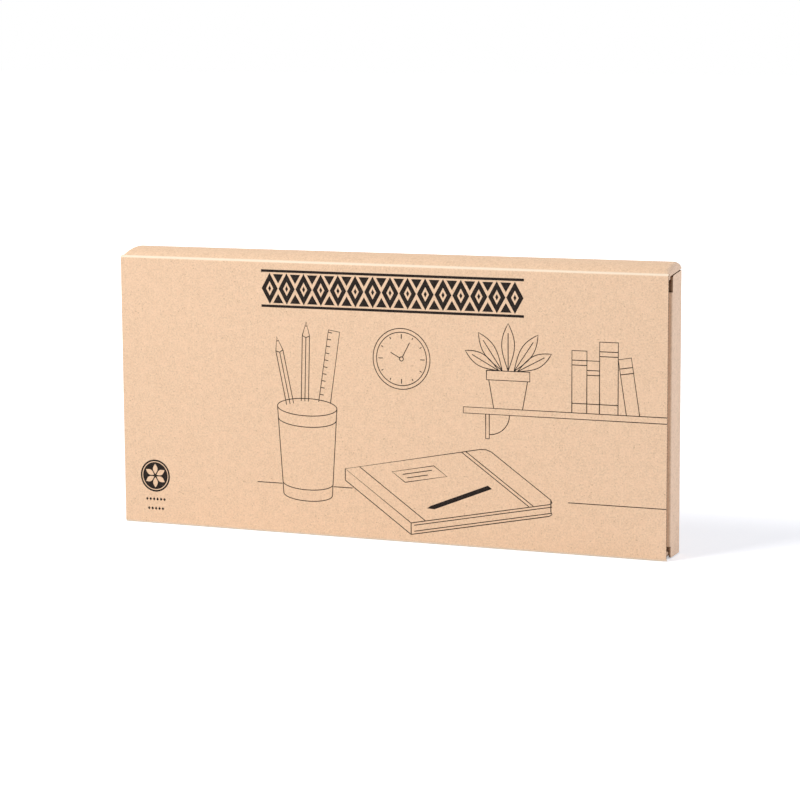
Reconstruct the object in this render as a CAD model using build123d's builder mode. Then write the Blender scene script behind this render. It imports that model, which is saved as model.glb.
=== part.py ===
from build123d import *
import math
import os

# A wireless charging organizer packed in its closed kraft carton.
# The carton stands on its long edge. X runs along it to the right, Y from its printed front to its
# back, and Z up. The origin is the middle of the face it stands on. Lengths are in millimetres.
# The product sets the size of its tray, and the tray sets the carton, which is 250 by 19 by 121.

# Organizer, two glued layers of bamboo
organizer_length = 224.0
organizer_width = 109.0
organizer_corner = 9.0
organizer_edge_round = 1.0
rim_width = 8.0
divider_width = 8.0
pen_recess_width = 48.0
recess_depth = 4.0
recess_corner = 6.0
recess_roof = 1.2
slot_inset = 2.0
slot_width = 9.0
slot_depth = 10.0
slot_land = 7.0
slot_wall = 4.5
slot_strip_thickness = 1.0
slot_strip_gap = 0.2

# Anti-slip ring on the floor of the phone recess
ring_inset = 6.5
ring_band = 3.0
ring_thickness = 0.8
ring_proud = 0.4

# Charging coil, ferrite and the pocket above them
coil_outer_radius = 22.0
coil_turns = 5
coil_wire = 1.6
coil_turn_gap = 0.8
coil_wire_height = 1.0
ferrite_margin = 2.0
ferrite_thickness = 0.6
pocket_clearance = 0.2
lead_hole_radius = 15.0

# Hollow of the base and its cover
base_wall = 9.0
base_web = 1.2
cavity_corner = 4.0
cover_thickness = 1.2
cover_gap = 0.15
ledge_margin = 0.3
screw_radius = 1.25
screw_head_radius = 2.4
countersink_angle = 90.0
screw_length = 4.2
screw_end_inset = 8.0
screw_fit_gap = 0.05
screw_recess_width = 0.7
screw_recess_depth = 0.6
foot_radius = 5.0
foot_inset = 16.0
foot_sink = 0.5
foot_proud = 0.6
foot_bevel = 0.4

# Control board and power inlet
control_length = 46.0
control_width = 24.0
control_thickness = 0.8
control_corner = 1.5
boss_height = 0.5
boss_radius = 2.6
board_screw_radius = 0.9
board_screw_head_radius = 1.8
board_screw_head_height = 0.9
board_screw_length = 2.2
board_screw_inset = 3.2
inlet_width = 9.0
inlet_height = 3.2
inlet_length = 11.0
inlet_wall = 0.3
inlet_tongue_width = 6.4
inlet_tongue_thickness = 0.7
inlet_back_wall = 1.5
inlet_port_gap = 0.2
inlet_face_inset = 1.2
inlet_headroom = 0.5
chip_size = 6.0
chip_height = 1.1
small_chip_size = 3.6
capacitor_radius = 2.2
capacitor_height = 2.6
chip_spacing = 9.0

# Folded tray that boxes the organizer in
tray_rail_height = 3.8
side_rail_width = 9.1
tray_lap_gap = 0.2
rail_clearance = 0.2
rail_fold_radius = 0.5
tongue_room = 1.0

# Carton, a tuck end box folded from one blank of fine fluted kraft board
board = 0.8
crease_radius = 1.2
top_crown = 2.4
hinge_gap = 0.2
layer_gap = 0.3
tray_end_gap = 1.8
tray_top_gap = 0.4
front_room = 0.8
glue_lap_width = 16.0
lap_end_inset = 6.0
lap_corner_cut = 4.0

# End closures
tuck_clearance = 0.3
tuck_foot_gap = 0.4
tuck_top_gap = 0.3
tuck_fold_radius = 3.4
tuck_notch = 4.8
tuck_corner_round = 1.0
tongue_end_gap = 2.6
tongue_lean = 27.0
tongue_round = 2.5
dust_fold_radius = 2.2
bend_straight = 0.4
dust_flap_length = 19.0
dust_flap_taper = 8.0
dust_hinge_inset = 2.2
dust_front_inset = 1.2
dust_shoulder = 3.0
dust_round = 1.2
bend_front_inset = 0.4
overrun = 2.0

# The crown rises towards the back. Each pair gives a place as a share of half the depth between
# the folds, and a height as a share of the crown.
crown_front_shares = (-0.2, 0.95)
crown_back_shares = (0.65, 1.65)

os.makedirs("parts", exist_ok=True)


def save(builder, name):
    """Labels a finished piece and writes it under its node name."""
    builder.part.label = name
    export_step(builder.part, f"parts/{name}.step")


# Sizes that follow from one another: first the organizer, then its tray, then the carton
half_organizer = organizer_length / 2
half_width = organizer_width / 2
pocket_depth = ferrite_thickness + coil_wire_height + pocket_clearance
top_layer = recess_depth + recess_roof + pocket_depth
board_room = boss_height + control_thickness + inlet_height + inlet_headroom
base_layer = base_web + board_room + cover_thickness
tray_half_length = half_organizer + rail_clearance + side_rail_width
tray_height = organizer_width + 2 * (rail_clearance + tray_rail_height)
dust_outer_x = tray_half_length + tray_end_gap + board
half_length = dust_outer_x + layer_gap + board
side_height = tray_height + 2 * board + tray_top_gap
tray_stack = board + tray_lap_gap + board + foot_proud + base_layer + top_layer
half_depth = board + (tray_stack + front_room) / 2
inner_half_depth = half_depth - board

# Places of the long folds and of the fold lines of the flaps
fold_line_y = half_depth - crease_radius
crease_line_radius = crease_radius - board / 2
panel_height = side_height - 2 * crease_radius
middle_height = side_height / 2
tuck_axis_x = half_length - board / 2
tuck_axis_y = half_depth - board / 2
back_panel_end = tuck_axis_x - board / 2 - hinge_gap
dust_axis_x = dust_outer_x - board / 2
bend_outer_radius = dust_fold_radius + board / 2
bend_inner_radius = dust_fold_radius - board / 2
bend_end = side_height - bend_outer_radius - bend_straight
dust_axis_z = bend_end - hinge_gap - board / 2
dust_front = dust_front_inset - fold_line_y
dust_back = tuck_axis_y - dust_hinge_inset

# Carton sleeve: four panels that meet at long rounded folds.
# The front panel ends in raw edges; the back panel stops short of the folds of its two tuck flaps.
with BuildPart() as front_panel:
    with BuildSketch(Plane.XZ.offset(inner_half_depth)):
        with Locations((0, middle_height)):
            Rectangle(2 * half_length, panel_height)
    extrude(amount=board)
save(front_panel, "front_panel")

with BuildPart() as back_panel:
    with BuildSketch(Plane.XZ.offset(-half_depth)):
        with Locations((0, middle_height)):
            Rectangle(2 * back_panel_end, panel_height)
    extrude(amount=board)
save(back_panel, "back_panel")


def rounded_block(half_run, level, crown, low, end_radius):
    """A block between the two long folds, with a crown across its top and both ends rounded over."""
    front_place, front_height = crown_front_shares
    back_place, back_height = crown_back_shares
    with BuildPart() as block:
        with BuildSketch(Plane.YZ):
            with BuildLine():
                if crown:
                    Bezier(
                        (-fold_line_y, level),
                        (front_place * fold_line_y, level + front_height * crown),
                        (back_place * fold_line_y, level + back_height * crown),
                        (fold_line_y, level),
                    )
                else:
                    Line((-fold_line_y, level), (fold_line_y, level))
                Polyline(
                    (fold_line_y, level), (fold_line_y, low), (-fold_line_y, low), (-fold_line_y, level)
                )
            make_face()
        extrude(amount=half_run, both=True)
        end_faces = block.faces().filter_by(Axis.X)
        fillet([face.edges().sort_by(Axis.Z)[-1] for face in end_faces], radius=end_radius)
    return block


def edge_panel(crown, reach, front, back):
    """The long narrow panel over the top, with its two long folds. Both ends bend down at the reach."""
    bend_start = reach - bend_outer_radius
    outside = rounded_block(reach, side_height, crown, bend_end, bend_outer_radius)
    inside = rounded_block(
        reach - board, side_height - board, crown, bend_end - overrun, bend_inner_radius
    )
    with BuildPart() as panel:
        add(outside.part)
        add(inside.part, mode=Mode.SUBTRACT)
        with BuildSketch(Plane.XY.offset(bend_end)):
            with Locations((bend_start, back), (-bend_start - half_length, back)):
                Rectangle(half_length, half_depth, align=(Align.MIN, Align.MIN))
            with Locations((bend_start, front), (-bend_start - half_length, front)):
                Rectangle(half_length, half_depth, align=(Align.MIN, Align.MAX))
        extrude(amount=side_height, mode=Mode.SUBTRACT)
        with BuildSketch(Plane.YZ):
            with BuildLine():
                CenterArc((-fold_line_y, side_height - crease_radius), crease_line_radius, 90, 90)
            trace(line_width=board)
        extrude(amount=half_length, both=True)
        with BuildSketch(Plane.YZ):
            with BuildLine():
                CenterArc((fold_line_y, side_height - crease_radius), crease_line_radius, 0, 90)
            trace(line_width=board)
        extrude(amount=bend_start, both=True)
    return panel


# The board springs up between its creases on top, and its ends bend down flush with the tuck flaps.
# Underneath it is pressed flat, and its ends bend up behind the tuck flaps.
top_panel = edge_panel(top_crown, half_length, bend_front_inset - fold_line_y, fold_line_y)
save(top_panel, "top_panel")

flat_panel = edge_panel(0, dust_outer_x, dust_front, dust_back)
with BuildPart() as bottom_panel:
    mirror(flat_panel.part, about=Plane.XY.offset(middle_height))
save(bottom_panel, "bottom_panel")

# Glue lap, folded down from the top panel and glued inside the back panel
lap_length = 2 * (dust_outer_x - bend_outer_radius - lap_end_inset)
lap_top = side_height - crease_radius
with BuildPart() as glue_lap:
    with BuildSketch(Plane.XZ.offset(-inner_half_depth)) as lap_outline:
        with Locations((0, lap_top - glue_lap_width / 2)):
            Rectangle(lap_length, glue_lap_width)
        chamfer(lap_outline.vertices().group_by(Axis.Y)[0], length=lap_corner_cut)
    extrude(amount=board)
save(glue_lap, "glue_lap")

# Tuck flap: a plate hinged on the back panel, a soft fold and a tongue that leans into the carton.
# The fold is placed so that the whole flap swings out without meeting the front panel, and the
# tongue is as long as the organizer behind it leaves room for.
lean_sine = math.sin(math.radians(tongue_lean))
lean_cosine = math.cos(math.radians(tongue_lean))
swing_radius = tuck_axis_y + inner_half_depth - tuck_clearance
fold_centre_reach = math.sqrt((swing_radius - tuck_fold_radius - board / 2) ** 2 - tuck_fold_radius**2)
flap_height = bend_end - tuck_top_gap - tuck_foot_gap
flap_middle = tuck_foot_gap + flap_height / 2
tongue_height = flap_height - 2 * tuck_notch
tongue_run = tuck_axis_x - tuck_fold_radius * (1 + lean_sine) - half_organizer - tongue_end_gap
tongue_length = tongue_run / lean_cosine
fold_start_y = tuck_axis_y - fold_centre_reach
fold_start = (tuck_axis_x, fold_start_y)

with BuildPart() as right_tuck_flap:
    with BuildSketch(Plane.XY.offset(tuck_foot_gap)):
        with BuildLine():
            Line((tuck_axis_x, tuck_axis_y), fold_start)
        trace(line_width=board)
        with Locations((tuck_axis_x, tuck_axis_y)):
            Circle(board / 2)
    extrude(amount=flap_height)
    fillet(
        right_tuck_flap.edges().filter_by(Axis.X).group_by(Axis.Y)[0],
        radius=tuck_corner_round,
    )
    with BuildSketch(Plane.XY.offset(tuck_foot_gap + tuck_notch)):
        with BuildLine():
            soft_fold = JernArc(fold_start, (0, -1), tuck_fold_radius, -(90 + tongue_lean))
        trace(line_width=board)
    extrude(amount=tongue_height)
    tongue_start = soft_fold @ 1
    tongue_way = soft_fold % 1
    tongue_plane = Plane(
        origin=(tongue_start.X, tongue_start.Y, flap_middle),
        x_dir=(tongue_way.X, tongue_way.Y, 0),
        z_dir=(tongue_way.Y, -tongue_way.X, 0),
    )
    with BuildSketch(tongue_plane) as tongue_outline:
        with Locations((tongue_length / 2, 0)):
            Rectangle(tongue_length, tongue_height)
        fillet(tongue_outline.vertices().group_by(Axis.X)[-1], radius=tongue_round)
    extrude(amount=board / 2, both=True)
save(right_tuck_flap, "right_tuck_flap")

# Dust flaps: one from the top panel and one from the bottom panel, lying behind the tuck flap.
# Each has a wide root above the tuck flap's tongue, and narrows to clear it. The side towards the
# tuck flap's hinge is cut at a slant.
dust_tip = dust_axis_z - dust_flap_length

with BuildPart() as right_upper_dust_flap:
    with BuildSketch(Plane.YZ.offset(dust_axis_x - board / 2)) as dust_outline:
        with BuildLine():
            Polyline(
                (dust_front, dust_axis_z),
                (dust_back, dust_axis_z),
                (dust_back - dust_flap_taper, dust_tip),
                (fold_start_y, dust_tip),
                (fold_start_y, dust_axis_z - dust_shoulder),
                close=True,
            )
        make_face()
        fillet(dust_outline.vertices().group_by(Axis.Y)[0], radius=dust_round)
    extrude(amount=board)
    with BuildSketch(Plane.XZ.offset(-dust_front)):
        with Locations((dust_axis_x, dust_axis_z)):
            Circle(board / 2)
    extrude(amount=dust_front - dust_back)
save(right_upper_dust_flap, "right_upper_dust_flap")

with BuildPart() as right_lower_dust_flap:
    mirror(right_upper_dust_flap.part, about=Plane.XY.offset(middle_height))
save(right_lower_dust_flap, "right_lower_dust_flap")

# The left end mirrors the right end
for right_piece, left_name in (
    (right_tuck_flap, "left_tuck_flap"),
    (right_upper_dust_flap, "left_upper_dust_flap"),
    (right_lower_dust_flap, "left_lower_dust_flap"),
):
    with BuildPart() as left_piece:
        mirror(right_piece.part, about=Plane.YZ)
    save(left_piece, left_name)

# Tray: a floor glued under four folded rails that box the organizer in. The rails stop short of
# the tuck flaps' tongues.
tongue_back = fold_start_y + (board / 2 - tuck_fold_radius) * lean_cosine + tongue_length * lean_sine
tray_back = inner_half_depth - board - tray_lap_gap
tray_floor_front = tray_back - board
tray_front = tongue_back + tongue_room
tray_low = board
tray_high = tray_low + tray_height
rail_depth = tray_floor_front - tray_front

with BuildPart() as tray_floor:
    with BuildSketch(Plane.XZ.offset(-tray_back)):
        with Locations((0, (tray_low + tray_high) / 2)):
            Rectangle(2 * tray_half_length, tray_height)
    extrude(amount=board)
save(tray_floor, "tray_floor")


def folded_rail(plane, width, run):
    """A hollow rail of board: a web on the open side of the tray and two legs down to its floor."""
    with BuildPart() as rail:
        with BuildSketch(plane) as rail_section:
            Rectangle(width, rail_depth, align=(Align.MIN, Align.MIN))
            fillet(rail_section.vertices().group_by(Axis.Y)[0], radius=rail_fold_radius)
            with Locations((board, board)):
                Rectangle(
                    width - 2 * board,
                    rail_depth,
                    align=(Align.MIN, Align.MIN),
                    mode=Mode.SUBTRACT,
                )
        extrude(amount=run)
    return rail


lower_rail_plane = Plane(
    origin=(tray_half_length, tray_front, tray_low), x_dir=(0, 0, 1), z_dir=(-1, 0, 0)
)
tray_lower_rail = folded_rail(lower_rail_plane, tray_rail_height, 2 * tray_half_length)
save(tray_lower_rail, "tray_lower_rail")

with BuildPart() as tray_upper_rail:
    mirror(tray_lower_rail.part, about=Plane.XY.offset((tray_low + tray_high) / 2))
save(tray_upper_rail, "tray_upper_rail")

side_rail_plane = Plane(
    origin=(tray_half_length - side_rail_width, tray_front, tray_low + tray_rail_height),
    x_dir=(1, 0, 0),
    z_dir=(0, 0, 1),
)
tray_right_rail = folded_rail(side_rail_plane, side_rail_width, tray_height - 2 * tray_rail_height)
save(tray_right_rail, "tray_right_rail")

with BuildPart() as tray_left_rail:
    mirror(tray_right_rail.part, about=Plane.YZ)
save(tray_left_rail, "tray_left_rail")

# Places in the organizer. It stands on the lower rail with its open face towards the front.
organizer_back = tray_floor_front - foot_proud
seam = organizer_back - base_layer
organizer_front = seam - top_layer
organizer_middle = tray_low + tray_rail_height + half_width
pen_left = rim_width - half_organizer
pen_middle = pen_left + pen_recess_width / 2
phone_left = pen_left + pen_recess_width + divider_width
phone_right = half_organizer - rim_width
phone_recess_length = phone_right - phone_left
phone_recess_width = organizer_width - 2 * rim_width - slot_width - slot_land
phone_middle = (phone_left + phone_right) / 2
phone_height = phone_recess_width / 2 + rim_width - half_width
pen_recess_length = organizer_width - 2 * rim_width
slot_length = phone_recess_length - 2 * slot_inset
slot_height = half_width - rim_width - slot_width / 2
recess_floor = organizer_front + recess_depth
ring_radius = phone_recess_width / 2 - ring_inset
ferrite_radius = coil_outer_radius + ferrite_margin


def facing_plane(depth):
    """A plane across the organizer at that depth, seen from the front, with its normal to the front."""
    return Plane(origin=(0, depth, organizer_middle), x_dir=(1, 0, 0), z_dir=(0, -1, 0))


def rear_plane(depth):
    """The same plane seen from behind, with its normal to the back."""
    return Plane(origin=(0, depth, organizer_middle), x_dir=(-1, 0, 0), z_dir=(0, 1, 0))


# Upper layer: bamboo, milled with the pen recess, the phone recess and the phone slot
with BuildPart() as organizer_top:
    with BuildSketch(facing_plane(seam)):
        RectangleRounded(organizer_length, organizer_width, organizer_corner)
    extrude(amount=top_layer)
    fillet(organizer_top.faces().sort_by(Axis.Y)[0].edges(), radius=organizer_edge_round)
    with BuildSketch(facing_plane(organizer_front)):
        with Locations((pen_middle, 0)):
            RectangleRounded(pen_recess_width, pen_recess_length, recess_corner)
        with Locations((phone_middle, phone_height)):
            RectangleRounded(phone_recess_length, phone_recess_width, recess_corner)
    extrude(amount=-recess_depth, mode=Mode.SUBTRACT)
    with BuildSketch(facing_plane(organizer_front)):
        with Locations((phone_middle, slot_height)):
            SlotOverall(slot_length, slot_width)
    extrude(amount=-(top_layer + overrun), mode=Mode.SUBTRACT)
    with BuildSketch(facing_plane(recess_floor)):
        with Locations((phone_middle, phone_height)):
            Circle(ring_radius)
            Circle(ring_radius - ring_band, mode=Mode.SUBTRACT)
    extrude(amount=ring_proud - ring_thickness, mode=Mode.SUBTRACT)
    with BuildSketch(facing_plane(seam)):
        with Locations((phone_middle, phone_height)):
            Circle(ferrite_radius + pocket_clearance)
    extrude(amount=pocket_depth, mode=Mode.SUBTRACT)
save(organizer_top, "organizer_top")

with BuildPart() as anti_slip_ring:
    with BuildSketch(facing_plane(recess_floor + ring_thickness - ring_proud)):
        with Locations((phone_middle, phone_height)):
            Circle(ring_radius)
            Circle(ring_radius - ring_band, mode=Mode.SUBTRACT)
    extrude(amount=ring_thickness)
save(anti_slip_ring, "anti_slip_ring")

# Lower layer: bamboo, hollowed from below for the electronics, solid round the phone slot
slot_zone_width = rim_width + slot_width + slot_wall
cover_ledge = 2 * (screw_head_radius + ledge_margin)
cavity_length = organizer_length - 2 * base_wall
cavity_width = organizer_width - base_wall - slot_zone_width
cavity_height = (base_wall - slot_zone_width) / 2
cover_length = cavity_length + 2 * cover_ledge
cover_width = cavity_width + 2 * cover_ledge
screw_x = cavity_length / 2 - screw_end_inset
screw_z = cavity_width / 2 + cover_ledge / 2
screw_places = [(x, cavity_height + z) for x in (-screw_x, screw_x) for z in (-screw_z, screw_z)]
foot_x = cover_length / 2 - foot_inset
foot_z = cover_width / 2 - foot_inset
foot_places = [(x, cavity_height + z) for x in (-foot_x, foot_x) for z in (-foot_z, foot_z)]
web_back = seam + base_web
control_front = web_back + boss_height
control_back = control_front + control_thickness
inlet_front_x = half_organizer - inlet_face_inset
control_right = cavity_length / 2 - pocket_clearance
control_x = control_right - control_length / 2
board_screw_x = control_x + board_screw_inset - control_length / 2
board_screw_z = control_width / 2 - board_screw_inset
board_screw_places = [(board_screw_x, -board_screw_z), (board_screw_x, board_screw_z)]

with BuildPart() as organizer_base:
    with BuildSketch(facing_plane(organizer_back)):
        RectangleRounded(organizer_length, organizer_width, organizer_corner)
    extrude(amount=base_layer)
    fillet(organizer_base.faces().sort_by(Axis.Y)[-1].edges(), radius=organizer_edge_round)
    with BuildSketch(facing_plane(organizer_back)):
        with Locations((0, cavity_height)):
            RectangleRounded(
                cover_length + 2 * cover_gap, cover_width + 2 * cover_gap, cavity_corner + cover_ledge
            )
    extrude(amount=cover_thickness, mode=Mode.SUBTRACT)
    with BuildSketch(facing_plane(organizer_back)):
        with Locations((0, cavity_height)):
            RectangleRounded(cavity_length, cavity_width, cavity_corner)
    extrude(amount=base_layer - base_web, mode=Mode.SUBTRACT)
    with BuildSketch(facing_plane(seam)):
        with Locations((phone_middle, phone_height)):
            Circle(lead_hole_radius)
    extrude(amount=-base_web, mode=Mode.SUBTRACT)
    with BuildSketch(facing_plane(seam)):
        with Locations((phone_middle, slot_height)):
            SlotOverall(slot_length, slot_width)
    extrude(amount=top_layer - slot_depth, mode=Mode.SUBTRACT)
    with BuildSketch(facing_plane(control_front)):
        with Locations(*board_screw_places):
            Circle(boss_radius)
    extrude(amount=boss_height)
    with BuildSketch(facing_plane(control_front)):
        with Locations(*board_screw_places):
            Circle(board_screw_radius + screw_fit_gap)
    extrude(amount=board_screw_length - control_thickness, mode=Mode.SUBTRACT)
    with BuildSketch(facing_plane(organizer_back - cover_thickness)):
        with Locations(*screw_places):
            Circle(screw_radius + screw_fit_gap)
    extrude(amount=screw_length - cover_thickness + screw_fit_gap, mode=Mode.SUBTRACT)
    with BuildSketch(Plane.YZ.offset(control_right)):
        with Locations((control_back + inlet_height / 2, organizer_middle)):
            SlotOverall(inlet_width + 2 * inlet_port_gap, inlet_height + 2 * inlet_port_gap, rotation=90)
    extrude(amount=base_wall + overrun, mode=Mode.SUBTRACT)
save(organizer_base, "organizer_base")

# Felt strip on the bottom of the phone slot
slot_bottom = organizer_front + slot_depth
with BuildPart() as slot_strip:
    with BuildSketch(facing_plane(slot_bottom)):
        with Locations((phone_middle, slot_height)):
            SlotOverall(slot_length - 2 * slot_strip_gap, slot_width - 2 * slot_strip_gap)
    extrude(amount=slot_strip_thickness)
save(slot_strip, "slot_strip")

# Base cover: moulded plastic, let into the lower layer and screwed from below
with BuildPart(rear_plane(organizer_back)) as base_cover:
    with BuildSketch(facing_plane(organizer_back)):
        with Locations((0, cavity_height)):
            RectangleRounded(cover_length, cover_width, cavity_corner + cover_ledge - cover_gap)
    extrude(amount=cover_thickness)
    with BuildSketch(facing_plane(organizer_back)):
        with Locations(*foot_places):
            Circle(foot_radius)
    extrude(amount=foot_sink, mode=Mode.SUBTRACT)
    with Locations(*screw_places):
        CounterSinkHole(
            screw_radius + screw_fit_gap,
            screw_head_radius + screw_fit_gap,
            counter_sink_angle=countersink_angle,
        )
save(base_cover, "base_cover")

# Countersunk screws of the base cover, with a cross recess in each head
head_cone_height = (screw_head_radius - screw_radius) / math.tan(math.radians(countersink_angle / 2))
with BuildPart(facing_plane(organizer_back)) as cover_screws:
    with Locations(*screw_places):
        Cone(
            screw_head_radius,
            screw_radius,
            head_cone_height,
            align=(Align.CENTER, Align.CENTER, Align.MIN),
        )
        Cylinder(screw_radius, screw_length, align=(Align.CENTER, Align.CENTER, Align.MIN))
    with BuildSketch(facing_plane(organizer_back)):
        with Locations(*screw_places):
            Rectangle(2 * screw_radius, screw_recess_width)
            Rectangle(screw_recess_width, 2 * screw_radius)
    extrude(amount=screw_recess_depth, mode=Mode.SUBTRACT)
save(cover_screws, "cover_screws")

# Rubber feet, pressed into shallow pockets of the base cover
with BuildPart() as rubber_feet:
    with BuildSketch(facing_plane(organizer_back + foot_proud)):
        with Locations(*foot_places):
            Circle(foot_radius - cover_gap)
    extrude(amount=foot_proud + foot_sink)
    chamfer(rubber_feet.faces().filter_by(Plane.XZ).group_by(Axis.Y)[-1].edges(), length=foot_bevel)
save(rubber_feet, "rubber_feet")


def coil_plane(depth):
    """The facing plane moved to the middle of the phone recess, over the charging coil."""
    return Plane(
        origin=(phone_middle, depth, organizer_middle + phone_height), x_dir=(1, 0, 0), z_dir=(0, -1, 0)
    )


# Ferrite sheet against the web of the base, with the flat wound coil on its front
with BuildPart() as ferrite_sheet:
    with BuildSketch(coil_plane(seam)):
        Circle(ferrite_radius)
    extrude(amount=ferrite_thickness)
save(ferrite_sheet, "ferrite_sheet")

# The winding is half turns on two centres, each half a pitch smaller than the one before
coil_step = (coil_wire + coil_turn_gap) / 2
coil_start_radius = coil_outer_radius - coil_wire / 2
with BuildPart() as charging_coil:
    with BuildSketch(coil_plane(seam - ferrite_thickness)):
        with BuildLine() as coil_line:
            for half_turn in range(2 * coil_turns):
                far_side = half_turn % 2
                CenterArc(
                    (-coil_step * far_side, 0),
                    coil_start_radius - coil_step * half_turn,
                    180 * far_side,
                    180,
                )
        trace(line_width=coil_wire)
    extrude(amount=coil_wire_height)
save(charging_coil, "charging_coil")

coil_arcs = coil_line.edges()
coil_gap = min(
    (first @ share - second @ share).length - coil_wire
    for first, second in zip(coil_arcs, coil_arcs[2:])
    for share in (0, 0.25, 0.5, 0.75, 1)
)
print("least gap between coil turns", round(coil_gap, 3))

# Control board on two bosses of the base, with its screws, chips and power inlet. Its other end is
# held by the inlet, which sits in a port in the wall of the base.
with BuildPart() as control_board:
    with BuildSketch(facing_plane(control_back)):
        with Locations((control_x, 0)):
            RectangleRounded(control_length, control_width, control_corner)
        with Locations(*board_screw_places):
            Circle(board_screw_radius + screw_fit_gap, mode=Mode.SUBTRACT)
    extrude(amount=control_thickness)
save(control_board, "control_board")

with BuildPart() as board_screws:
    with BuildSketch(facing_plane(control_back + board_screw_head_height)):
        with Locations(*board_screw_places):
            Circle(board_screw_head_radius)
    extrude(amount=board_screw_head_height)
    with BuildSketch(facing_plane(control_back)):
        with Locations(*board_screw_places):
            Circle(board_screw_radius)
    extrude(amount=board_screw_length)
save(board_screws, "board_screws")

small_chip_places = [(control_x + chip_spacing / 2, side * chip_spacing / 2) for side in (-1, 1)]
capacitor_places = [(control_x - 3 * chip_spacing / 2, side * chip_spacing / 3) for side in (-1, 1)]
with BuildPart() as board_chips:
    with BuildSketch(facing_plane(control_back + chip_height)):
        with Locations((control_x - chip_spacing / 2, 0)):
            Rectangle(chip_size, chip_size)
        with Locations(*small_chip_places):
            Rectangle(small_chip_size, small_chip_size)
    extrude(amount=chip_height)
    with BuildSketch(facing_plane(control_back + capacitor_height)):
        with Locations(*capacitor_places):
            Circle(capacitor_radius)
    extrude(amount=capacitor_height)
save(board_chips, "board_chips")

inlet_plane = Plane(
    origin=(inlet_front_x, control_back + inlet_height / 2, organizer_middle),
    x_dir=(0, 0, 1),
    z_dir=(-1, 0, 0),
)
with BuildPart() as power_inlet:
    with BuildSketch(inlet_plane):
        SlotOverall(inlet_width, inlet_height)
    extrude(amount=inlet_length)
    with BuildSketch(inlet_plane):
        SlotOverall(inlet_width - 2 * inlet_wall, inlet_height - 2 * inlet_wall)
    extrude(amount=inlet_length - inlet_back_wall, mode=Mode.SUBTRACT)
    with BuildSketch(inlet_plane.offset(inlet_back_wall)):
        Rectangle(inlet_tongue_width, inlet_tongue_thickness)
    extrude(amount=inlet_length - 2 * inlet_back_wall)
save(power_inlet, "power_inlet")
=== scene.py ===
import bmesh
import bpy
import math
from mathutils import Matrix, Vector


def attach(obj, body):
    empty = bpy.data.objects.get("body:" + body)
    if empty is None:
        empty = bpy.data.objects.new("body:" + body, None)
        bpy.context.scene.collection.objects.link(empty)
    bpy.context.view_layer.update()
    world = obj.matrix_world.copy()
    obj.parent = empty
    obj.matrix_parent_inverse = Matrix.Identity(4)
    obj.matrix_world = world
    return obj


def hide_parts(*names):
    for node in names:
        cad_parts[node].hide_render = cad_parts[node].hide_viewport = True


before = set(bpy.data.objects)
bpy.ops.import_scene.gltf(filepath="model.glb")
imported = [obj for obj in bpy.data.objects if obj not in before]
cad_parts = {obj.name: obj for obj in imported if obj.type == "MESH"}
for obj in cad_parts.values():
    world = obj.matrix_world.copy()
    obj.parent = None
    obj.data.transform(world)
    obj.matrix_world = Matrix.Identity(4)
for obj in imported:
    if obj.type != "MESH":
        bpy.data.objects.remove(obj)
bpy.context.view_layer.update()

# Camera of the product photo. The carton is seen from a little to its right and from above,
# through a long lens. The place and lens were found from the corners of the carton in the photo.
camera_place = (0.4382, -1.0629, 0.2337)
camera_turn_left = math.radians(22.252)
camera_tilt_down = math.radians(8.61)
camera_roll = math.radians(-0.358)
camera_data = bpy.data.cameras.new("camera")
camera_data.lens = 122.07
camera_data.sensor_width = 36.0
camera = bpy.data.objects.new("camera", camera_data)
bpy.context.scene.collection.objects.link(camera)
camera.matrix_world = (
    Matrix.Translation(camera_place)
    @ Matrix.Rotation(camera_turn_left, 4, "Z")
    @ Matrix.Rotation(math.pi / 2 - camera_tilt_down, 4, "X")
    @ Matrix.Rotation(camera_roll, 4, "Z")
)
bpy.context.scene.camera = camera
bpy.context.scene.view_settings.view_transform = "Standard"


# Floor of the photo studio: a wide white sweep that keeps the carton's soft shadow. It glows for
# the camera and for mirror rays alone, more the further it lies from the carton, so that it fades
# into the white behind it.
def add_node(tree, kind, options, inputs):
    """Adds a shader node. Options are its settings; inputs are numbers, colours or other outputs."""
    node = tree.nodes.new("ShaderNode" + kind)
    for option, value in options.items():
        setattr(node, option, value)
    for place, value in inputs.items():
        if isinstance(value, bpy.types.NodeSocket):
            tree.links.new(value, node.inputs[place])
        else:
            node.inputs[place].default_value = value
    return node


def arithmetic(tree, operation, *values):
    """The result of one step of arithmetic on shader values."""
    return add_node(tree, "Math", {"operation": operation}, dict(enumerate(values))).outputs[0]


def share_between(tree, value, low, high, most=1.0, least=0.0):
    """A share that rises smoothly from the least at low to the most at high."""
    risen = add_node(
        tree,
        "MapRange",
        {"interpolation_type": "SMOOTHSTEP"},
        {"Value": value, "From Min": low, "From Max": high, "To Min": least, "To Max": most},
    )
    return risen.outputs["Result"]


floor_size = 12.0
floor_white = (0.86, 0.86, 0.88, 1.0)
glow_near = 0.41
glow_far = 1.0
glow_start = 0.22
glow_end = 0.85
bpy.ops.object.select_all(action="DESELECT")
bpy.ops.mesh.primitive_plane_add(size=floor_size, location=(0, 0, 0))
floor = bpy.context.object
floor.name = "studio_floor"
floor_material = bpy.data.materials.new("studio_white")
floor_material.use_nodes = True
tree = floor_material.node_tree
tree.nodes.clear()
paper = add_node(tree, "BsdfDiffuse", {}, {"Color": floor_white})
place = add_node(tree, "TexCoord", {}, {})
from_carton = add_node(tree, "VectorMath", {"operation": "LENGTH"}, {0: place.outputs["Object"]})
glow_strength = share_between(
    tree, from_carton.outputs["Value"], glow_start, glow_end, most=glow_far, least=glow_near
)
rays = add_node(tree, "LightPath", {}, {}).outputs
seen_rays = arithmetic(tree, "MAXIMUM", rays["Is Camera Ray"], rays["Is Glossy Ray"])
seen_glow = arithmetic(tree, "MULTIPLY", seen_rays, glow_strength)
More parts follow.
